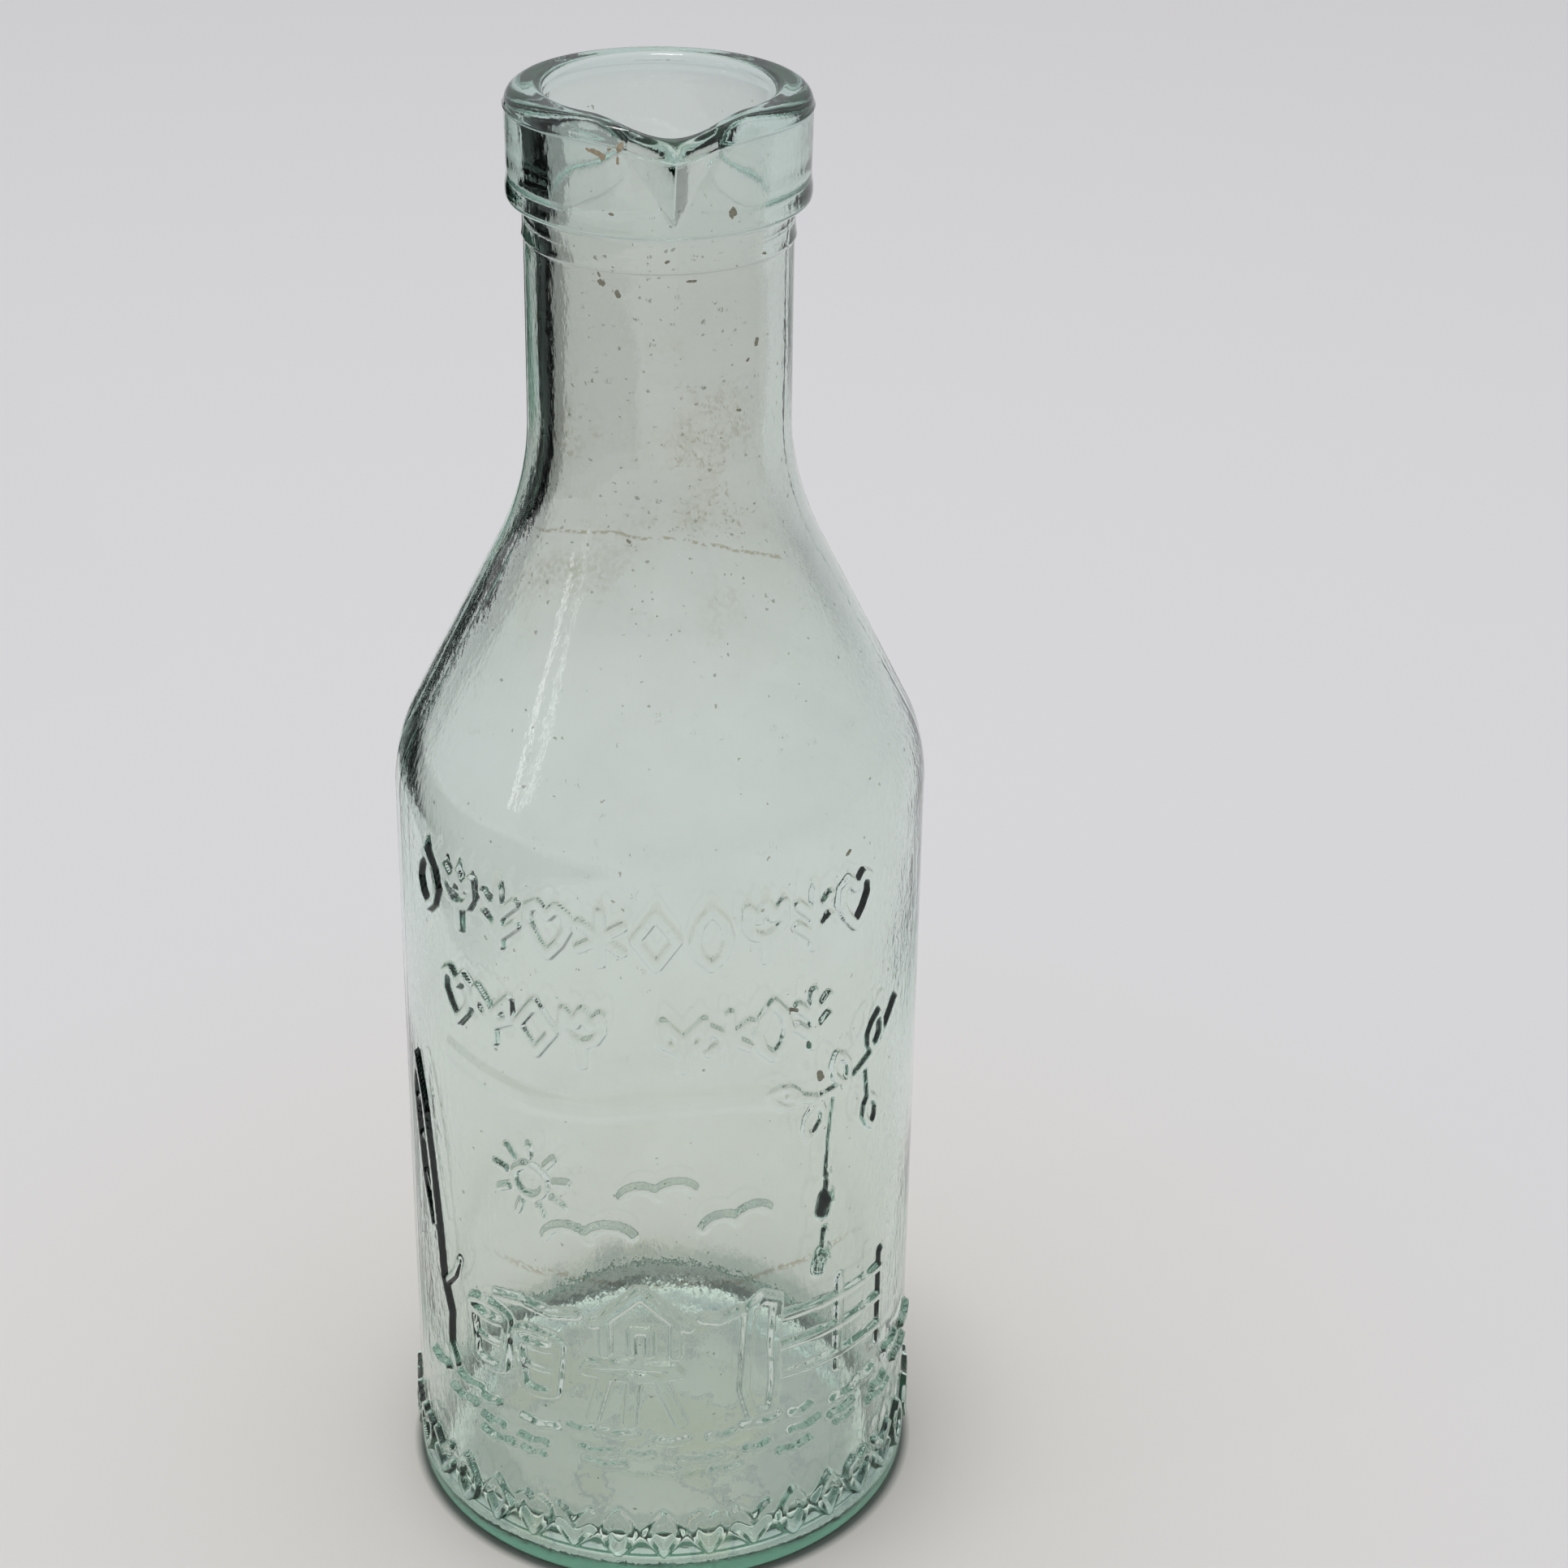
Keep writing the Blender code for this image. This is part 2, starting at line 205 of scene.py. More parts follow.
def ridge_field(x, z):
    """How far the ridges stand out at each point of a grid: x along columns, z along rows."""
    field = np.zeros((len(z), len(x)))
    for points, width, height, edge_width in strokes:
        reach = 0.5 * (width + edge_width)
        rows = np.where((z > points[:, 1].min() - reach) & (z < points[:, 1].max() + reach))[0]
        columns = np.where((x > points[:, 0].min() - reach) & (x < points[:, 0].max() + reach))[0]
        if not len(rows) or not len(columns):
            continue
        grid = np.stack(np.meshgrid(x[columns], z[rows]), -1)
        nearest = np.full(grid.shape[:2], 1e9)
        for a, b in zip(points[:-1], points[1:]):
            along = b - a
            t = np.clip(((grid - a) @ along) / max(along @ along, 1e-9), 0.0, 1.0)
            nearest = np.minimum(nearest, np.linalg.norm(grid - a - t[..., None] * along, axis=-1))
        edge = np.clip((reach - nearest) / edge_width, 0.0, 1.0)
        lift = height * edge * edge * (3.0 - 2.0 * edge)
        part = field[np.ix_(rows, columns)]
        field[np.ix_(rows, columns)] = np.maximum(part, lift)
    return field


# ---------------------------------------------------------------------------------------------
# The bottle. One piece of pale aqua soda glass, blown in a two-part body mould with a separate
# bottom plate and neck ring: push-up, bead and groove at the heel, straight barrel, sloping
# shoulder, and a thick collar whose front was drawn out into a pouring lip while still hot.
# ---------------------------------------------------------------------------------------------
WALL = 3.6
NECK_WALL = 5.0
COLLAR_RADIUS = 25.1
NECK_RADIUS = 22.3
NECK_BORE = NECK_RADIUS - NECK_WALL
SHOULDER_SLOPE = radians(26.6)
SHOULDER_BEND, NECK_FLARE = 28.7, 50.6
BARREL_TOP_Z = 145.9


def arc(centre, radii, start, end, count):
    """Points round a centre; the radius may change from the first to the last."""
    turned = np.linspace(start, end, count)
    sizes = np.linspace(radii[0], radii[1], count)
    return [(centre[0] + r * cos(a), centre[1] + r * sin(a)) for r, a in zip(sizes, turned)]


def shoulder_line(low_inset, high_inset):
    """Outline from the barrel's top up to the neck, moved inwards by the insets."""
    slope, bend, flare, top = SHOULDER_SLOPE, SHOULDER_BEND, NECK_FLARE, BARREL_TOP_Z
    middle = 0.5 * (low_inset + high_inset)
    bend_end_r = BARREL_RADIUS - bend * (1.0 - cos(slope))
    flare_start_r = NECK_RADIUS + flare * (1.0 - cos(slope))
    flare_start_z = top + bend * sin(slope) + (bend_end_r - flare_start_r) / tan(slope)
    line = arc((BARREL_RADIUS - bend, top), (bend - low_inset, bend - low_inset), 0.0, slope, 12)
    flare_centre = (NECK_RADIUS + flare, flare_start_z + flare * sin(slope))
    line += arc(flare_centre, (flare + middle, flare + high_inset), pi + slope, pi, 14)
    return line


def along(line, step):
    """Points at about this spacing along an outline, its own corners kept."""
    out = [line[0]]
    for a, b in zip(line, line[1:]):
        count = max(1, int(np.ceil(np.hypot(b[0] - a[0], b[1] - a[1]) / step)))
        out += [tuple(np.array(a) + (np.array(b) - a) * k / count) for k in range(1, count + 1)]
    return out


# The outline, from the middle of the push-up out and up the outside, over the rim, and down the
# inside to the middle of the bottom: distance from the axis and height, in millimetres.
underside = along([(0.0, 4.0), (10.0, 3.9), (19.4, 3.75), (20.0, 3.5), (20.6, 3.7), (30.0, 2.9)], 3.0)
underside += [(34.0, 2.3), (36.5, 1.5), (38.4, 0.6)]
heel = [(39.8, 0.1), (40.6, 0.0), (44.6, 0.0)] + arc((45.4, 2.0), (2.0, 2.0), -pi / 2 + 0.35, 0.0, 7)
heel += [(47.4, 2.6), (47.4, 3.4), (47.35, 4.1), (47.1, 4.7), (46.7, 5.1), (46.5, 5.4), (46.55, 5.8),
         (46.85, 6.2)]
barrel_wall = along([(BARREL_RADIUS, 6.6), (BARREL_RADIUS, 144.0)], 0.38)
upper_wall = along(shoulder_line(0.0, 0.0), 1.6)
neck_wall = along([(22.3, 216.0), (22.3, 244.6)], 1.6)
neck_wall += [(22.32, 245.0), (22.45, 245.25), (22.66, 245.45), (22.6, 245.8), (22.5, 246.6)]
neck_wall += along([(22.46, 247.5), (22.46, 249.8)], 1.0)
collar_foot = [(22.55, 250.7), (22.85, 251.25), (23.3, 251.45), (24.2, 251.5), (24.75, 251.65),
               (25.05, 252.0), (25.17, 252.6), (25.19, 253.4), (25.13, 254.1), (25.02, 254.8), (24.95, 255.6)]
collar_wall = along([(24.94, 256.2), (25.08, 266.0)], 0.5)
parting = [(25.1, 266.5), (25.12, 266.75), (25.3, 266.95), (25.12, 267.15), (25.08, 267.4)]
crown = arc((22.2, 267.2), (2.85, 2.85), 0.12, pi / 2, 14) + [(21.4, 270.0), (20.6, 269.95)]
mouth_edge = arc((20.3, 268.4), (1.55, 1.55), pi / 2, pi, 8) + [(18.72, 267.9), (18.55, 267.5), (18.5, 267.0)]
bore_wall = along([(18.6, 266.2), (18.5, 262.0), (18.0, 252.0), (NECK_BORE, 242.0), (NECK_BORE, 216.0)], 1.6)
inner_shoulder = along(shoulder_line(WALL, NECK_WALL)[::-1], 1.8)
inner_barrel = along([(BARREL_RADIUS - WALL, 144.0), (BARREL_RADIUS - WALL, 13.4)], 2.0)
floor_line = arc((36.9, 11.8), (6.5, 6.5), 0.0, -pi / 2, 9)
floor_line += along([(34.0, 5.4), (20.0, 7.3), (8.0, 8.7), (0.0, 9.0)], 3.0)
fine_rows = heel + barrel_wall + upper_wall + neck_wall + collar_foot + collar_wall + parting
fine_rows += crown + mouth_edge
line = np.array(underside + fine_rows + bore_wall + inner_shoulder + inner_barrel + floor_line)
OUTER_COUNT = len(underside + fine_rows) - len(mouth_edge)

# Columns stand close together round the front, wider apart at the sides and the back.
THINNING = 3
zones = ((0.0, 81.0, 216), (81.0, 111.0, 30), (111.0, 180.0, 45))
half = np.concatenate([np.linspace(start, end, steps, endpoint=False) for start, end, steps in zones])
turn = np.radians(np.concatenate([half, [180.0], -half[:0:-1]]))
radius = np.repeat(line[1:-1, 0:1], len(turn), axis=1)
height = np.repeat(line[1:-1, 1:2], len(turn), axis=1)
outside = np.arange(1, len(line) - 1) < OUTER_COUNT


def smooth(low, high, value):
    t = np.clip((value - low) / (high - low), 0.0, 1.0)
    return t * t * (3.0 - 2.0 * t)


def waves(table):
    """A fixed sum of slow waves round and up the wall."""
    total = 0.0
    for around, up, start, amount in table:
        total = total + amount * np.sin(around * turn[None, :] + up * height + start)
    return total


# The blowing leaves the wall uneven inside and a little wavy outside.
body_share = smooth(6.0, 16.0, height) * (1.0 - smooth(252.0, 262.0, height)) * smooth(2.0, 12.0, radius)
inner_waves = ((2, 0.045, 0.4, 0.18), (3, -0.07, 1.9, 0.10), (5, 0.09, 0.7, 0.05), (1, 0.13, 2.6, 0.10),
               (7, -0.15, 3.1, 0.02), (4, 0.21, 5.0, 0.025))
outer_waves = ((2, 0.05, 1.2, 0.03), (4, -0.09, 0.3, 0.015), (9, 0.2, 2.2, 0.006))
radius += np.where(outside[:, None], waves(outer_waves), waves(inner_waves)) * body_share
on_barrel = outside & (line[1:-1, 0] > 46.2) & (line[1:-1, 1] > 6.0) & (line[1:-1, 1] < 146.0)
radius[on_barrel] += ridge_field(turn * BARREL_RADIUS, line[1:-1, 1][on_barrel])

# Two upright mould seams, a hair proud, from the heel to the collar's foot.
SEAM_HEIGHT, SEAM_HALF_WIDTH = 0.1, 0.5
for seam in (-0.5 * pi, 0.5 * pi):
    off = np.abs(turn - seam) * radius
    bead = SEAM_HEIGHT * np.exp(-((off / SEAM_HALF_WIDTH) ** 2))
    radius += bead * outside[:, None] * smooth(5.0, 7.0, height) * (1.0 - smooth(249.0, 250.5, height))

# The pouring lip: the rim is pushed out and down round the front, and a two-faced beak runs
# from under it down to the collar's foot.
BEAK_REACH, BEAK_RIDGE_TOP, BEAK_TIP = 29.2, 266.2, 252.6
BEAK_SIDE, MOUTH_SPREAD = radians(17.5), radians(41.0)
SPOUT_DIP, CHANNEL_PULL = 2.2, 3.9
CHANNEL_FOOT_Z, CHANNEL_LENGTH = 250.0, 18.5


def beak_radius(angle, z):
    """Distance from the axis to the beak's two faces, planes through ridge, tip and corner."""
    ridge = np.array((0.0, -BEAK_REACH, BEAK_RIDGE_TOP))
    tip = np.array((0.0, -COLLAR_RADIUS, BEAK_TIP))
    corner = np.array((COLLAR_RADIUS * sin(BEAK_SIDE), -COLLAR_RADIUS * cos(BEAK_SIDE), BEAK_RIDGE_TOP + 0.6))
    normal = np.cross(tip - ridge, corner - ridge)
    across = normal[0] * np.sin(np.abs(angle)) - normal[1] * np.cos(angle)
    return (normal @ ridge - normal[2] * z) / across


angle = np.repeat(turn[None, :], len(height), axis=0)
share = np.clip(1.0 - np.abs(angle) / MOUTH_SPREAD, 0.0, 1.0)
mouth_pull = smooth(0.0, 1.0, share) ** 1.15
at_beak = (np.abs(angle) < 1.6 * BEAK_SIDE) & (height > BEAK_TIP - 1.0)
beak = np.where(at_beak, beak_radius(np.where(at_beak, angle, 0.0), np.minimum(height, BEAK_RIDGE_TOP)), 0.0)
flank_z = [251.5, 252.0, 252.6, 253.4, 255.6, 266.5]
flank_radius = [24.2, 25.05, 25.17, 25.19, 24.95, 25.1]
flank = np.interp(height, flank_z, flank_radius)
push = np.maximum(beak - flank, 0.0) * smooth(BEAK_TIP - 0.8, BEAK_TIP + 0.4, height)
up_channel = np.clip((height - CHANNEL_FOOT_Z) / CHANNEL_LENGTH, 0.0, 1.0) ** 2.3
inner_pull = mouth_pull * CHANNEL_PULL * up_channel
rim_mix = np.where(outside[:, None], smooth(19.5, 25.0, radius), 0.0)
radius += np.where(height > CHANNEL_FOOT_Z, rim_mix * push + (1.0 - rim_mix) * inner_pull, 0.0)
height -= SPOUT_DIP * mouth_pull ** 1.3 * smooth(257.0, 268.5, height)

grid = np.empty((len(height), len(turn), 3))
grid[..., 0] = radius * np.sin(angle)
grid[..., 1] = -radius * np.cos(angle)
grid[..., 2] = height
is_fine = np.zeros(len(height), bool)
is_fine[len(underside) - 1:len(underside) + len(fine_rows) - 1] = True
rings, points = [], [(0.0, 0.0, line[0, 1])]
for row, fine in zip(grid, is_fine):
    picked = row if fine else row[::THINNING]
    rings.append(np.arange(len(points), len(points) + len(picked)))
    points.extend(picked.tolist())
points.append((0.0, 0.0, line[-1, 1]))
faces = []
for low, high in zip(rings, rings[1:]):
    if len(low) == len(high):
        faces += np.stack([low, np.roll(low, -1), np.roll(high, -1), high], -1).tolist()
        continue
    flip = len(low) > len(high)
    many, few = (low, high) if flip else (high, low)
    for k in range(len(few)):
        a, b = few[k], few[(k + 1) % len(few)]
        run = [many[(THINNING * k + i) % len(many)] for i in range(THINNING + 1)]
        fan = [(a, run[1], run[0]), (a, run[2], run[1]), (a, b, run[2]), (b, run[3], run[2])]
        faces += [tuple(int(v) for v in (f[::-1] if flip else f)) for f in fan]
last = len(points) - 1
first_ring, last_ring = rings[0].tolist(), rings[-1].tolist()
for k in range(len(first_ring)):
    faces.append((0, first_ring[(k + 1) % len(first_ring)], first_ring[k]))
    faces.append((last, last_ring[k], last_ring[(k + 1) % len(last_ring)]))
mesh = bpy.data.meshes.new("bottle_glass")
mesh.from_pydata((np.array(points) * MM).tolist(), [], faces)
mesh.shade_smooth()
bottle = bpy.data.objects.new("bottle_glass", mesh)
bpy.context.scene.collection.objects.link(bottle)

glass = bpy.data.materials.new("aqua_bottle_glass")
glass.use_nodes = True
nodes, links = glass.node_tree.nodes, glass.node_tree.links
shader = nodes["Principled BSDF"]
shader.inputs["Transmission Weight"].default_value = 1.0
shader.inputs["IOR"].default_value = 1.5
shader.inputs["Metallic"].default_value = 0.0


def add(kind, inputs=(), **settings):
    """A node in the material at hand; an input is a number, a colour or another node's output."""
    made = nodes.new("ShaderNode" + kind)
    for name, value in settings.items():
        setattr(made, name, value)
    for name, value in dict(inputs).items():
        if isinstance(value, bpy.types.NodeSocket):
            links.new(value, made.inputs[name])
        else:
            made.inputs[name].default_value = value
    return made


def ramp(value, low, high):
    """0 below low, 1 above high, soft between."""
    limits = {"Value": value, "From Min": low, "From Max": high}
    return add("MapRange", limits, interpolation_type="SMOOTHSTEP").outputs[0]


def product(a, b):
    return add("Math", {0: a, 1: b}, operation="MULTIPLY").outputs[0]


def tinted(under, mask, colour):
    """Lays a colour over another where the mask says."""
    return add("Mix", {0: mask, 6: under, 7: colour}, data_type="RGBA").outputs[2]


where = add("TexCoord").outputs["Object"]
split = add("SeparateXYZ", {0: where})
up = split.outputs["Z"]
level = add("CombineXYZ", {"X": split.outputs["X"], "Y": split.outputs["Y"], "Z": 0.0}).outputs[0]
from_axis = add("VectorMath", {0: level}, operation="LENGTH").outputs["Value"]

CLEAN_GLASS, DUSTY_GLASS = (0.963, 0.976, 0.957, 1.0), (0.935, 0.947, 0.918, 1.0)
NECK_FILM, BROWN_SMUDGE = (0.892, 0.877, 0.850, 1.0), (0.68, 0.65, 0.55, 1.0)
COLLAR_GREY, RIM_AQUA = (0.932, 0.938, 0.922, 1.0), (0.83, 0.885, 0.88, 1.0)
DARK_GRIT = (0.20, 0.20, 0.13, 1.0)
MILK_LINE, MILK_CRUST = (0.42, 0.37, 0.23, 1.0), (0.50, 0.46, 0.33, 1.0)
LOW_MILK_LINE = (0.50, 0.40, 0.28, 1.0)
FLOOR_FILM, FLOOR_SKIN = (0.97, 0.97, 0.91, 1.0), (0.93, 0.92, 0.78, 1.0)
PAINTED_FLOOR_SHADE = (0.74, 0.80, 0.78, 1.0)
SCALE_EDGE, SCALE_RING = (0.55, 0.60, 0.63, 1.0), (0.66, 0.72, 0.68, 1.0)

# Dust and film: a thin grey bloom all over, brownish on the lower neck and the shoulder's top.
bloom = add("TexNoise", {"Vector": where, "Scale": 70.0, "Detail": 7.0, "Roughness": 0.62}).outputs["Fac"]
crumbs = add("TexNoise", {"Vector": where, "Scale": 1100.0, "Detail": 3.0}).outputs["Fac"]
neck_zone = product(ramp(up, 0.168, 0.196), ramp(up, 0.258, 0.240))
smudge = product(product(ramp(bloom, 0.50, 0.72), neck_zone), ramp(up, 0.232, 0.206))
stain = product(smudge, ramp(crumbs, 0.34, 0.62))
colour = tinted(CLEAN_GLASS, ramp(bloom, 0.35, 0.75), DUSTY_GLASS)
colour = tinted(colour, product(neck_zone, 0.97), NECK_FILM)
colour = tinted(colour, stain, BROWN_SMUDGE)

# The thick collar is a little greyer, and its rim a little stronger in colour.
colour = tinted(colour, ramp(up, 0.2505, 0.2530), COLLAR_GREY)
colour = tinted(colour, ramp(up, 0.2650, 0.2680), RIM_AQUA)

# Fine specks of grit, thickest round the neck and the shoulder's top.
uneven = add("TexNoise", {"Vector": where, "Scale": 1300.0, "Detail": 2.0}).outputs["Color"]
grit_warp = {0: uneven, 1: (0.0011, 0.0011, 0.0011), 2: where}
grit_place = add("VectorMath", grit_warp, operation="MULTIPLY_ADD").outputs[0]
grit_cells = add("TexVoronoi", {"Vector": grit_place, "Scale": 900.0})
grit_kind = add("SeparateColor", {0: grit_cells.outputs["Color"]})
grit_size = add("Math", {0: grit_kind.outputs[1], 1: 0.28, 2: 0.07}, operation="MULTIPLY_ADD").outputs[0]
grit_gap = add("Math", {0: grit_size, 1: grit_cells.outputs["Distance"]}, operation="SUBTRACT").outputs[0]
grit_share = add("Math", {0: neck_zone, 1: -0.075, 2: 0.972}, operation="MULTIPLY_ADD").outputs[0]
grit_pick = add("Math", {0: grit_kind.outputs[0], 1: grit_share}, operation="GREATER_THAN").outputs[0]
grit = product(ramp(grit_gap, 0.0, 0.06), grit_pick)
colour = tinted(colour, product(grit, 0.85), DARK_GRIT)

# The old milk line on the inside at the foot of the neck, broken and a little crooked.
wander = add("TexNoise", {"Vector": level, "Scale": 75.0, "Detail": 4.0}).outputs["Fac"]
crest_off = add("Math", {0: split.outputs["X"], 1: 0.0053}).outputs[0]
crest_fall = product(product(crest_off, crest_off), -16.0)
crest_level = add("Math", {0: wander, 1: 0.004, 2: 0.1978}, operation="MULTIPLY_ADD").outputs[0]
line_level = add("Math", {0: crest_fall, 1: crest_level}).outputs[0]
line_off = add("Math", {0: up, 1: line_level}, operation="SUBTRACT").outputs[0]
line_gap = add("Math", {0: line_off}, operation="ABSOLUTE").outputs[0]
inside_here = ramp(from_axis, 0.0226, 0.0222)
front_only = ramp(split.outputs["Y"], 0.002, -0.006)
tide = product(ramp(line_gap, 0.00042, 0.00010), inside_here)
tide = product(tide, product(ramp(crumbs, 0.42, 0.56), front_only))
colour = tinted(colour, tide, MILK_LINE)

# Crusty drift above that line, and a second, lower line where the last of the milk dried.
drift = product(ramp(bloom, 0.50, 0.60), ramp(crumbs, 0.56, 0.62))
drift = product(drift, product(ramp(up, 0.196, 0.199), ramp(up, 0.222, 0.205)))
colour = tinted(colour, product(drift, inside_here), MILK_CRUST)
low_wander = add("Math", {0: wander, 1: 0.005, 2: 0.0633}, operation="MULTIPLY_ADD").outputs[0]
low_off = add("Math", {0: up, 1: low_wander}, operation="SUBTRACT").outputs[0]
low_gap = add("Math", {0: low_off}, operation="ABSOLUTE").outputs[0]
low_inside = product(ramp(from_axis, 0.0452, 0.0447), ramp(split.outputs["Y"], -0.026, -0.036))
low_line = product(product(ramp(low_gap, 0.0011, 0.0002), low_inside), ramp(crumbs, 0.44, 0.56))
colour = tinted(colour, product(low_line, 0.9), LOW_MILK_LINE)

# Dried scale on the inner bottom: a grey bluish skin with a crusty edge, and painted shade on its right side.
above_push_up = ramp(up, 0.0046, 0.0050)
on_floor = product(ramp(up, 0.0125, 0.0105), above_push_up)
skin = add("TexNoise", {"Vector": level, "Scale": 42.0, "Detail": 8.0, "Roughness": 0.6}).outputs["Fac"]
edge_off = add("Math", {0: skin, 1: 0.52}, operation="SUBTRACT").outputs[0]
crust = ramp(add("Math", {0: edge_off}, operation="ABSOLUTE").outputs[0], 0.02, 0.004)
colour = tinted(colour, on_floor, FLOOR_FILM)
colour = tinted(colour, product(on_floor, ramp(skin, 0.48, 0.56)), FLOOR_SKIN)
# Painted shade: the right-hand outer part of the inner bottom is darkened grey-green in the glass colour.
shaded_right_side = product(ramp(split.outputs["X"], 0.010, 0.019), ramp(from_axis, 0.021, 0.025))
colour = tinted(colour, product(on_floor, shaded_right_side), PAINTED_FLOOR_SHADE)
colour = tinted(colour, product(on_floor, crust), SCALE_EDGE)
ring_edge = add("Math", {0: skin, 1: 0.010, 2: 0.0285}, operation="MULTIPLY_ADD").outputs[0]
ring_off = add("Math", {0: from_axis, 1: ring_edge}, operation="SUBTRACT").outputs[0]
ring = product(product(ramp(ring_off, 0.0, 0.0012), ramp(up, 0.0150, 0.0100)), above_push_up)
colour = tinted(colour, product(ring, ramp(from_axis, 0.0436, 0.0430)), SCALE_RING)
links.new(colour, shader.inputs["Base Color"])

# Handling wear dulls the polish in fine upright patches, and the scale dulls the bottom.
POLISH, WEAR_ROUGHNESS, SCALE_ROUGHNESS = 0.012, 0.14, 0.2
worn_place = add("Mapping", {"Vector": where, "Scale": (1.0, 1.0, 0.5)}).outputs[0]
wear_grain = add("TexNoise", {"Vector": worn_place, "Scale": 1300.0, "Detail": 2.0}).outputs["Fac"]
worn = {0: ramp(wear_grain, 0.56, 0.68), 1: WEAR_ROUGHNESS, 2: POLISH}
wear = add("Math", worn, operation="MULTIPLY_ADD").outputs[0]
scaled = {0: product(on_floor, ramp(skin, 0.46, 0.60)), 1: SCALE_ROUGHNESS, 2: wear}
rough = add("Math", scaled, operation="MULTIPLY_ADD").outputs[0]
links.new(rough, shader.inputs["Roughness"])

# The mould's skin: a very fine grain, drawn out upwards, over a slow orange peel.
stretched = add("Mapping", {"Vector": where, "Scale": (1.0, 1.0, 0.45)}).outputs[0]
grain = add("TexNoise", {"Vector": stretched, "Scale": 1150.0, "Detail": 2.0}).outputs["Fac"]
peel = add("TexNoise", {"Vector": stretched, "Scale": 260.0, "Detail": 2.0}).outputs["Fac"]
relief = add("Math", {0: peel, 1: 2.0, 2: grain}, operation="MULTIPLY_ADD").outputs[0]
GRAIN_DEPTH = 0.000022
skin_bump = add("Bump", {"Height": relief, "Distance": GRAIN_DEPTH, "Strength": 1.0})
links.new(skin_bump.outputs[0], shader.inputs["Normal"])

# The iron in the sand colours the glass all through, so thick places look greener.
body = add("VolumeAbsorption", {"Color": (0.14, 0.64, 0.45, 1.0), "Density": 18.0})
links.new(body.outputs["Volume"], nodes["Material Output"].inputs["Volume"])
mesh.materials.append(glass)

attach(bottle, "root")
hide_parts("base_and_heel", "barrel", "shoulder", "neck", "collar", "pouring_lip")


# ---------------------------------------------------------------------------------------------
# Rust stains. Small flat scabs of iron rust left by an old wire closure, stuck to the outside of
# the collar beside the pouring lip and over the edge of the rim.
# ---------------------------------------------------------------------------------------------
glass_surface = BVHTree.FromPolygons([tuple(p * MM for p in point) for point in points], faces)
SCAB_LIFT = 0.00006
SCAB_SPOKES, SCAB_RINGS = 18, (0.34, 0.68, 0.9, 1.0)
RAY_START_RADIUS = 0.08
COLLAR_ROUND = 25.0


def scab(azimuth, level_mm, wide, tall, thick, seed, lean=0.0):
    """A thin crust lying on the glass: its outline is uneven, its middle a little proud."""
    ragged = np.random.default_rng(seed)
    spokes, rings_of = SCAB_SPOKES, SCAB_RINGS
    lobes = np.sin(np.arange(spokes) * 4 * pi / spokes + seed)
    shape = 1.0 + 0.34 * (ragged.random(spokes) - 0.5) + 0.3 * lobes
    skin_top, skin_low = [], []
    for share_out in (0.0,) + rings_of:
        for k in range(1 if share_out == 0.0 else spokes):
            way = 2 * pi * k / spokes
            across = 0.5 * wide * share_out * shape[k] * cos(way)
            rise_mm = 0.5 * tall * share_out * shape[k] * sin(way)
            out_way = radians(azimuth) + (across + rise_mm * lean) / COLLAR_ROUND
            start = Vector((RAY_START_RADIUS * sin(out_way), -RAY_START_RADIUS * cos(out_way),
                            (level_mm + rise_mm) * MM))
            hit, normal, _, _ = glass_surface.ray_cast(start, Vector((-sin(out_way), cos(out_way), 0.0)))
            top = thick * (1.0 - 0.75 * share_out ** 3) * (0.75 + 0.5 * ragged.random())
            skin_top.append(hit + normal * (SCAB_LIFT + top * MM))
            skin_low.append(hit + normal * SCAB_LIFT)
    loops = [[0]] + [list(range(1 + spokes * j, 1 + spokes * (j + 1))) for j in range(len(rings_of))]
    sheet = [(0, loops[1][k], loops[1][(k + 1) % spokes]) for k in range(spokes)]
    for low_ring, high_ring in zip(loops[1:], loops[2:]):
        for k in range(spokes):
            n = (k + 1) % spokes
            sheet += [(low_ring[k], high_ring[k], high_ring[n]), (low_ring[k], high_ring[n], low_ring[n])]
    count = len(skin_top)
    crust_faces = list(sheet) + [tuple(count + v for v in face[::-1]) for face in sheet]
    for k in range(spokes):
        n = (k + 1) % spokes
        a, b = loops[-1][k], loops[-1][n]
        crust_faces += [(a, a + count, b + count), (a, b + count, b)]
    return skin_top + skin_low, crust_faces


def crust_piece(name, table):
    """Joins the crusts of one kind into a single named piece."""
    all_points, all_faces = [], []
    for row in table:
        some_points, some_faces = scab(*row)
        all_faces += [tuple(v + len(all_points) for v in face) for face in some_faces]
        all_points += [tuple(p) for p in some_points]
    crust_mesh = bpy.data.meshes.new(name)
    crust_mesh.from_pydata(all_points, [], all_faces)
    crust_mesh.shade_smooth()
    piece = bpy.data.objects.new(name, crust_mesh)
    bpy.context.scene.collection.objects.link(piece)
    return piece


mottle = bpy.data.node_groups.new("crust_mottle", "ShaderNodeTree")
mottle.interface.new_socket("Scale", in_out="INPUT", socket_type="NodeSocketFloat")
mottle.interface.new_socket("Dark", in_out="INPUT", socket_type="NodeSocketColor")
mottle.interface.new_socket("Light", in_out="INPUT", socket_type="NodeSocketColor")
mottle.interface.new_socket("Colour", in_out="OUTPUT", socket_type="NodeSocketColor")
nodes, links = mottle.nodes, mottle.links
asked = nodes.new("NodeGroupInput").outputs
crust_place = add("TexCoord").outputs["Object"]
patches = add("TexNoise", {"Vector": crust_place, "Scale": asked["Scale"], "Detail": 4.0}).outputs["Fac"]
links.new(tinted(asked["Dark"], patches, asked["Light"]), nodes.new("NodeGroupOutput").inputs["Colour"])


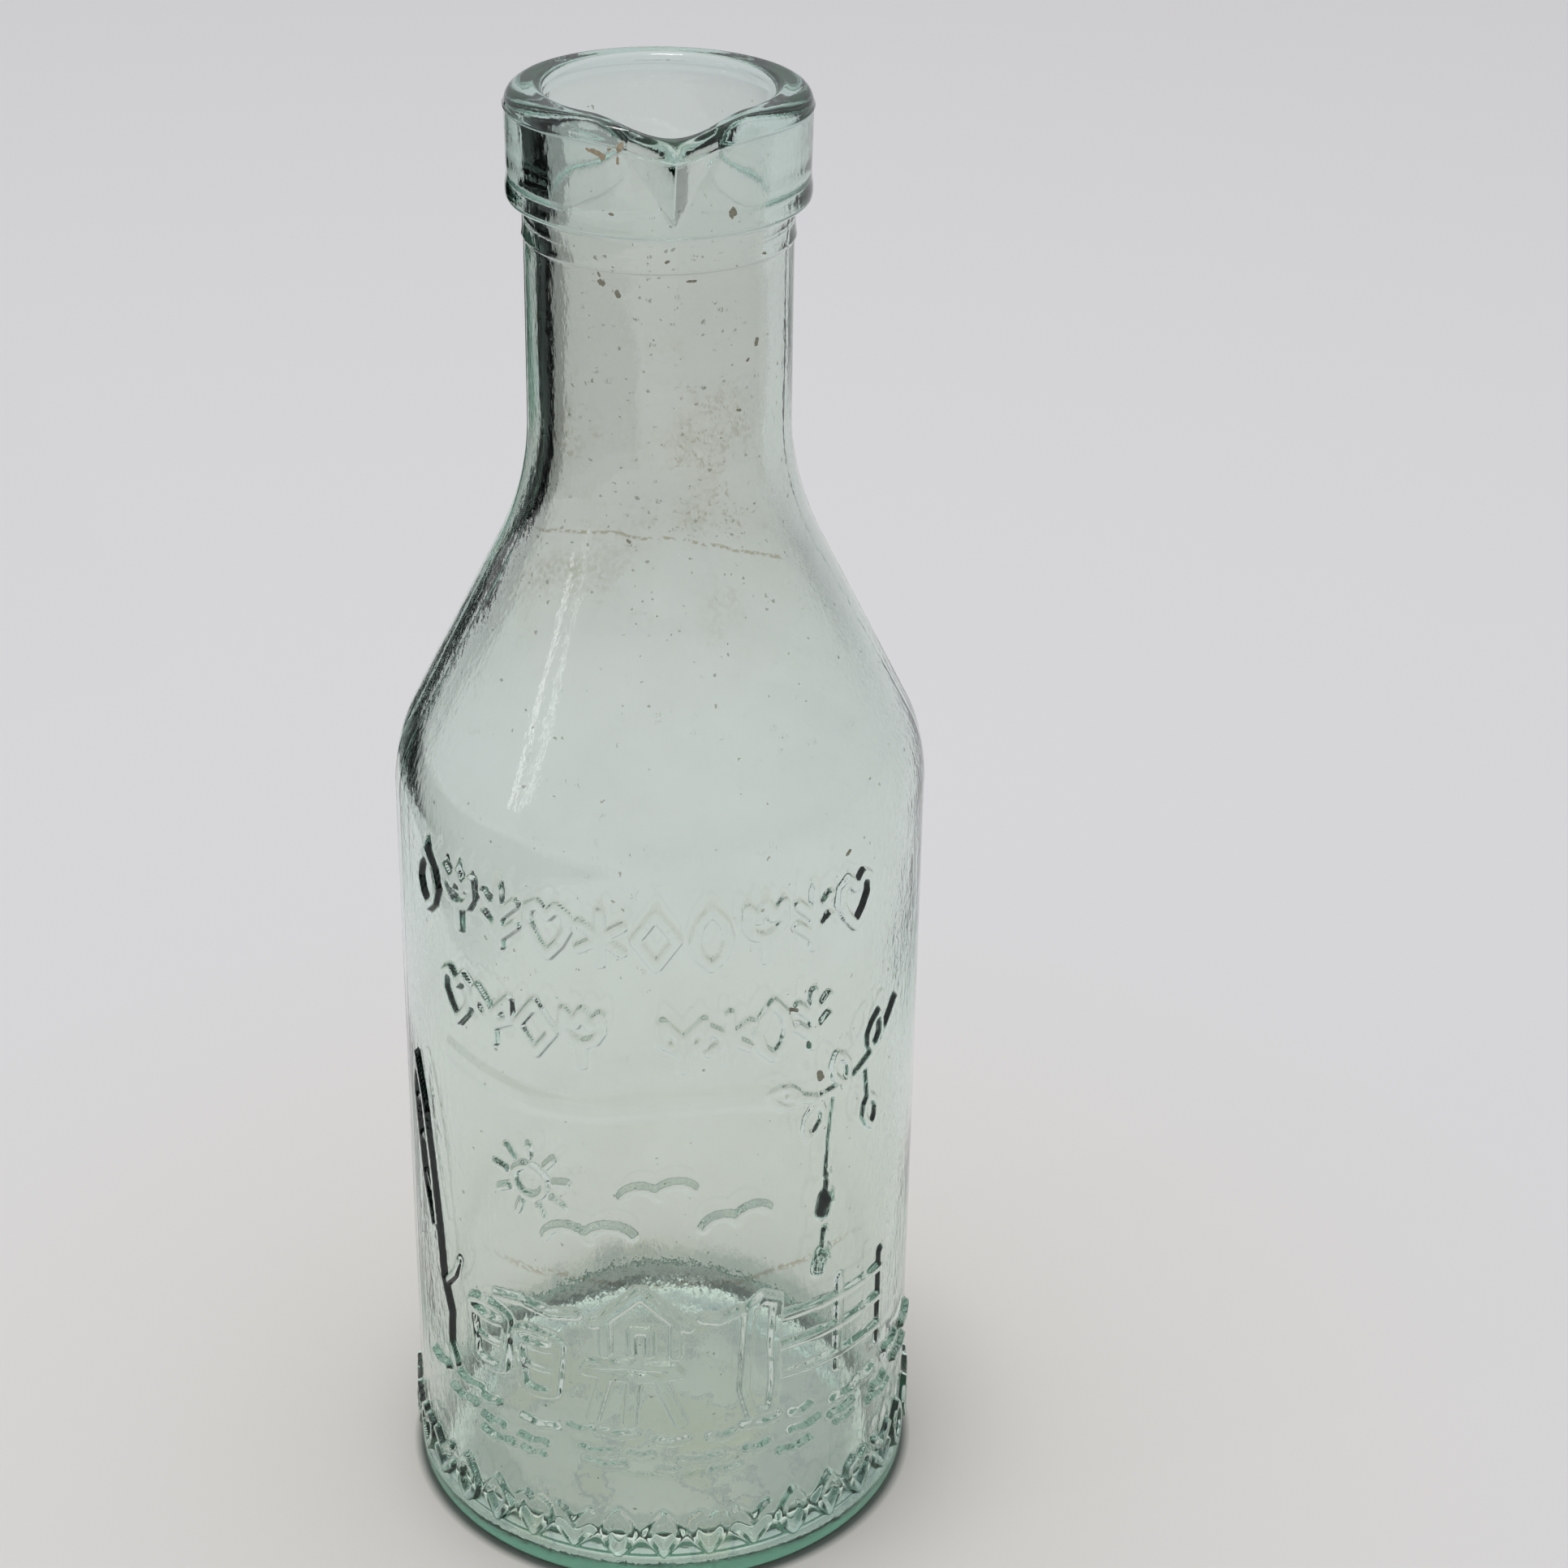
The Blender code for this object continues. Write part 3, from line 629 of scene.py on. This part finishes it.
def crust_material(name, dark, light, scale):
    """Dry mineral crust: matt, mottled between two colours."""
    made = bpy.data.materials.new(name)
    made.use_nodes = True
    tree = made.node_tree
    mottled = tree.nodes.new("ShaderNodeGroup")
    mottled.node_tree = mottle
    mottled.inputs["Scale"].default_value = scale
    mottled.inputs["Dark"].default_value = dark
    mottled.inputs["Light"].default_value = light
    tree.links.new(mottled.outputs["Colour"], tree.nodes["Principled BSDF"].inputs["Base Color"])
    tree.nodes["Principled BSDF"].inputs["Roughness"].default_value = 0.85
    return made


# Each row: degrees round from the lip, height, width, tallness and thickness in millimetres, the
# seed of its outline, and a lean where it has one.
rust = crust_piece("rust_stains", [
    (-28.2, 265.3, 2.3, 1.0, 0.05, 3), (-25.6, 264.7, 1.3, 0.9, 0.05, 5), (-31.2, 265.5, 0.8, 0.6, 0.04, 9),
    (-19.2, 266.4, 0.8, 2.0, 0.05, 7, 0.1), (-20.0, 264.3, 0.6, 1.1, 0.04, 11),
    (-23.0, 266.0, 0.6, 0.6, 0.04, 13)])
RUST_DARK, RUST_LIGHT, RUST_GRAIN = (0.25, 0.19, 0.11, 1.0), (0.50, 0.43, 0.31, 1.0), 1800.0
rust.data.materials.append(crust_material("dry_rust", RUST_DARK, RUST_LIGHT, RUST_GRAIN))
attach(rust, "root")


# ---------------------------------------------------------------------------------------------
# Mineral flecks. Specks of lime and dirt from long lying in the ground, stuck to the outside of
# the collar, the neck and the shoulder, with a few on the barrel.
# ---------------------------------------------------------------------------------------------
flecks = crust_piece("mineral_flecks", [
    (-29.5, 243.3, 1.2, 1.3, 0.05, 21), (-30.6, 244.6, 0.6, 0.8, 0.04, 22),
    (-22.5, 241.7, 1.4, 1.1, 0.05, 23), (39.4, 231.9, 1.3, 1.2, 0.05, 24), (34.5, 229.3, 0.8, 0.6, 0.04, 25),
    (22.3, 255.4, 1.2, 2.0, 0.05, 26, -0.2), (-22.6, 255.6, 0.7, 0.6, 0.04, 27),
    (-17.5, 200.1, 0.7, 0.7, 0.04, 28), (30.6, 105.6, 1.0, 2.0, 0.06, 29), (22.9, 121.1, 1.3, 0.7, 0.05, 30),
    (37.2, 147.8, 0.7, 0.9, 0.04, 31), (-2.0, 247.4, 0.8, 0.6, 0.04, 32), (8.0, 244.0, 1.6, 0.6, 0.04, 33),
    (43.0, 246.5, 0.9, 0.5, 0.04, 34), (30.0, 221.0, 1.2, 0.5, 0.04, 35)])
DIRT_DARK, LIME_LIGHT, DIRT_GRAIN = (0.11, 0.11, 0.07, 1.0), (0.36, 0.35, 0.27, 1.0), 2400.0
flecks.data.materials.append(crust_material("lime_and_dirt", DIRT_DARK, LIME_LIGHT, DIRT_GRAIN))
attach(flecks, "root")


# ---------------------------------------------------------------------------------------------
# Studio floor. A pale sheet that runs to the horizon, with painted warm shade round the bottle and a painted
# contact shadow where the heel touches it, and a small white card under the base that glows to light it.
# ---------------------------------------------------------------------------------------------
FLOOR_SIZE, FLOOR_DROP, CARD_RADIUS = 60.0, 0.0002, 0.0437
fade = bpy.data.node_groups.new("round_fade", "ShaderNodeTree")
for limit in ("Start", "End", "Inner", "Outer"):
    fade.interface.new_socket(limit, in_out="INPUT", socket_type="NodeSocketFloat")
fade.interface.new_socket("Value", in_out="OUTPUT", socket_type="NodeSocketFloat")
nodes, links = fade.nodes, fade.links
asked = nodes.new("NodeGroupInput").outputs
from_middle = add("VectorMath", {0: add("TexCoord").outputs["Object"]}, operation="LENGTH").outputs["Value"]
graded = add("MapRange", {"Value": from_middle, "From Min": asked["Start"], "From Max": asked["End"],
                          "To Min": asked["Inner"], "To Max": asked["Outer"]})
links.new(graded.outputs[0], nodes.new("NodeGroupOutput").inputs["Value"])


def round_fade(start, end, inner=0.0, outer=1.0):
    """From the inner to the outer value between two distances from the bottle's axis."""
    made = nodes.new("ShaderNodeGroup")
    made.node_tree = fade
    for limit, number in zip(("Start", "End", "Inner", "Outer"), (start, end, inner, outer)):
        made.inputs[limit].default_value = number
    return made.outputs["Value"]


bpy.ops.mesh.primitive_plane_add(size=FLOOR_SIZE, location=(0.0, 0.0, -FLOOR_DROP))
floor_sheet = bpy.context.object
floor_sheet.name = "studio_floor"
paper = bpy.data.materials.new("pale_backdrop")
paper.use_nodes = True
nodes, links = paper.node_tree.nodes, paper.node_tree.links
WARM_SHADE_PAPER, PLAIN_PAPER = (0.72, 0.69, 0.645, 1.0), (0.70, 0.69, 0.69, 1.0)
PAINTED_CONTACT_SHADOW = (0.16, 0.18, 0.16, 1.0)
# Painted shade: a warm shadow tint round the bottle, and a dark contact shadow ring just outside the heel.
warm_shaded_paper = tinted(WARM_SHADE_PAPER, round_fade(0.04, 0.22), PLAIN_PAPER)
shaded = tinted(PAINTED_CONTACT_SHADOW, round_fade(0.0474, 0.0492), warm_shaded_paper)
links.new(shaded, nodes["Principled BSDF"].inputs["Base Color"])
nodes["Principled BSDF"].inputs["Roughness"].default_value = 0.95
nodes["Principled BSDF"].inputs["Specular IOR Level"].default_value = 0.1
floor_sheet.data.materials.append(paper)

bpy.ops.mesh.primitive_circle_add(vertices=64, radius=CARD_RADIUS, fill_type="NGON",
                                  location=(0.0, 0.0, -0.5 * FLOOR_DROP))
glow_disc = bpy.context.object
glow_disc.name = "base_glow_disc"
glow_card = bpy.data.materials.new("glowing_white_card")
glow_card.use_nodes = True
nodes, links = glow_card.node_tree.nodes, glow_card.node_tree.links
nodes["Principled BSDF"].inputs["Base Color"].default_value = (0.86, 0.87, 0.84, 1.0)
nodes["Principled BSDF"].inputs["Roughness"].default_value = 0.9
nodes["Principled BSDF"].inputs["Emission Color"].default_value = (1.0, 1.0, 0.97, 1.0)
# Painted light: the card glows by its own emission, weaker in the middle and stronger towards its rim, to
# light the base and heel from below.
links.new(round_fade(0.038, 0.042, 0.22, 0.62), nodes["Principled BSDF"].inputs["Emission Strength"])
glow_disc.data.materials.append(glow_card)


# ---------------------------------------------------------------------------------------------
# Black flag. A sheet of black felt on the floor to the left, as glass photographers use it: the camera never
# sees it, only the glass does, and it draws the wall's dark edges as a painted dark reflection; it casts no
# shadow and gives the floor no bounce.
# ---------------------------------------------------------------------------------------------
FLAG_LIFT = 0.004
DEEP_RAY_SEE_THROUGH = 0.52
WHOLE_BOTTLE_CROSSED = 3.5
flag_outline = ((-0.24, -0.60), (-0.24, 0.26), (-0.112, 0.37), (-0.40, 1.45), (-1.60, 1.45), (-1.60, -0.60))
flag_mesh = bpy.data.meshes.new("black_flag")
flag_mesh.from_pydata([(x, y, FLAG_LIFT) for x, y in flag_outline], [], [tuple(range(len(flag_outline)))])
flag = bpy.data.objects.new("black_flag", flag_mesh)
bpy.context.scene.collection.objects.link(flag)
flag.visible_camera = False
flag.visible_diffuse = False
flag.visible_shadow = False
felt = bpy.data.materials.new("black_felt")
felt.use_nodes = True
nodes, links = felt.node_tree.nodes, felt.node_tree.links
nodes["Principled BSDF"].inputs["Base Color"].default_value = (0.004, 0.004, 0.004, 1.0)
nodes["Principled BSDF"].inputs["Roughness"].default_value = 1.0
nodes["Principled BSDF"].inputs["Specular IOR Level"].default_value = 0.0
# Rays that have gone through glass four or more times find the felt half transparent, so the painted dark
# reflection falls only on the wall's own edges and the clear middle stays clear from every side.
depth = add("LightPath").outputs["Transmission Depth"]
crossed = add("Math", {0: depth, 1: WHOLE_BOTTLE_CROSSED}, operation="GREATER_THAN").outputs[0]
let_by = product(crossed, DEEP_RAY_SEE_THROUGH)
half_see_through = add("BsdfTransparent").outputs[0]
blend = add("MixShader", {0: let_by, 1: nodes["Principled BSDF"].outputs[0], 2: half_see_through})
links.new(blend.outputs[0], nodes["Material Output"].inputs["Surface"])
flag.data.materials.append(felt)


# ---------------------------------------------------------------------------------------------
# Light and camera. Soft daylight all round, stronger overhead, with two lamps above and one thin
# window edge on the left; the camera stands in front and above, looking down at the shoulder.
# ---------------------------------------------------------------------------------------------
world = bpy.data.worlds.new("soft_daylight")
bpy.context.scene.world = world
world.use_nodes = True
nodes, links = world.node_tree.nodes, world.node_tree.links
HORIZON_LIGHT, ZENITH_LIGHT = 0.46, 0.85
direction = add("SeparateXYZ", {0: add("TexCoord").outputs["Generated"]})
rise = add("MapRange", {"Value": direction.outputs["Z"], "From Min": 0.0, "From Max": 0.9,
                        "To Min": HORIZON_LIGHT, "To Max": ZENITH_LIGHT})
links.new(rise.outputs[0], nodes["Background"].inputs["Strength"])
nodes["Background"].inputs["Color"].default_value = (0.96, 0.97, 1.0, 1.0)


def panel(name, place_at, aim, size, power):
    """A rectangular lamp turned towards a point."""
    lamp = bpy.data.lights.new(name, "AREA")
    lamp.shape = "RECTANGLE"
    lamp.size, lamp.size_y = size
    lamp.energy = power
    held = bpy.data.objects.new(name, lamp)
    held.location = place_at
    held.rotation_euler = (Vector(aim) - Vector(place_at)).to_track_quat("-Z", "Y").to_euler()
    bpy.context.scene.collection.objects.link(held)


panel("overhead", (0.1, 0.5, 2.6), (0.0, 0.4, 0.0), (2.4, 2.4), 7.5)
panel("top_lamp", (-0.10, -0.05, 1.75), (0.0, 0.0, 0.1), (0.36, 0.36), 5.5)
panel("window_edge", (-1.36, -0.43, 0.68), (0.0, 0.0, 0.17), (0.055, 0.5), 0.34)

CAMERA_DISTANCE, CAMERA_HEIGHT = 0.5160, 0.4098
CAMERA_TURN, CAMERA_YAW, CAMERA_PITCH, CAMERA_ROLL = 5.2, 7.643, 27.327, 0.939
FOCAL_LENGTH = 74.53
lens = bpy.data.cameras.new("front_camera")
lens.sensor_width = 36.0
lens.lens = FOCAL_LENGTH
lens.clip_start = 0.01
camera = bpy.data.objects.new("front_camera", lens)
bpy.context.scene.collection.objects.link(camera)
swing = radians(CAMERA_TURN)
stand = Matrix.Translation((-CAMERA_DISTANCE * sin(swing), -CAMERA_DISTANCE * cos(swing), CAMERA_HEIGHT))
look = Matrix.Rotation(-radians(CAMERA_YAW), 4, "Z") @ Matrix.Rotation(pi / 2 - radians(CAMERA_PITCH), 4, "X")
camera.matrix_world = stand @ look @ Matrix.Rotation(radians(CAMERA_ROLL), 4, "Z")
bpy.context.scene.camera = camera

scene = bpy.context.scene
scene.view_settings.view_transform = "Standard"
scene.cycles.use_denoising = True
scene.cycles.max_bounces = 24
scene.cycles.transmission_bounces = 24
scene.cycles.glossy_bounces = 12
scene.cycles.transparent_max_bounces = 16
